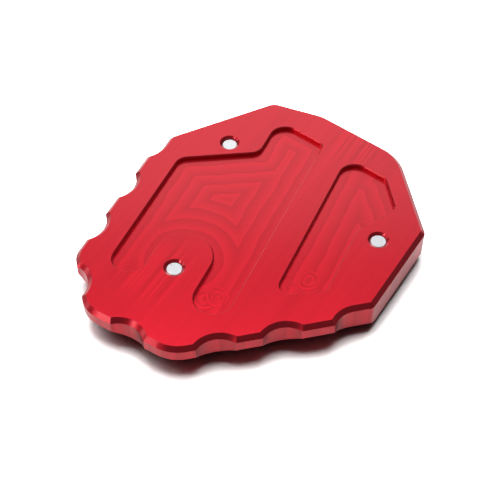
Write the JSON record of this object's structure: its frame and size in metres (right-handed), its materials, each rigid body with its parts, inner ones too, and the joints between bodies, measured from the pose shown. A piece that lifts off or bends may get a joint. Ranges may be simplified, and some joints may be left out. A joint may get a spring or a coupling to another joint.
{
  "type": "kickstand foot enlarger",
  "caption": "Machined metal plate with scalloped edges, clamped under a motorcycle side stand by a U-shaped bracket and countersunk screws.",
  "frame": {"origin": "centre of the bounding box's bottom, on the exposed face of the bracket", "axes": "+Z out of the ground face of the plate, +Y along the long pocket towards the end that the stand's leg comes from, X across"},
  "size_m": [0.0903, 0.1034, 0.013],
  "materials": {
    "anodised_plate": "red anodised, milled",
    "anodised_bracket": "red anodised, milled",
    "screw_steel": "zinc plated steel"
  },
  "bodies": {
    "root": {"base_plate": "anodised_plate", "clamp_bracket": "anodised_bracket", "clamp_screws": "screw_steel"}
  },
  "joints": []
}
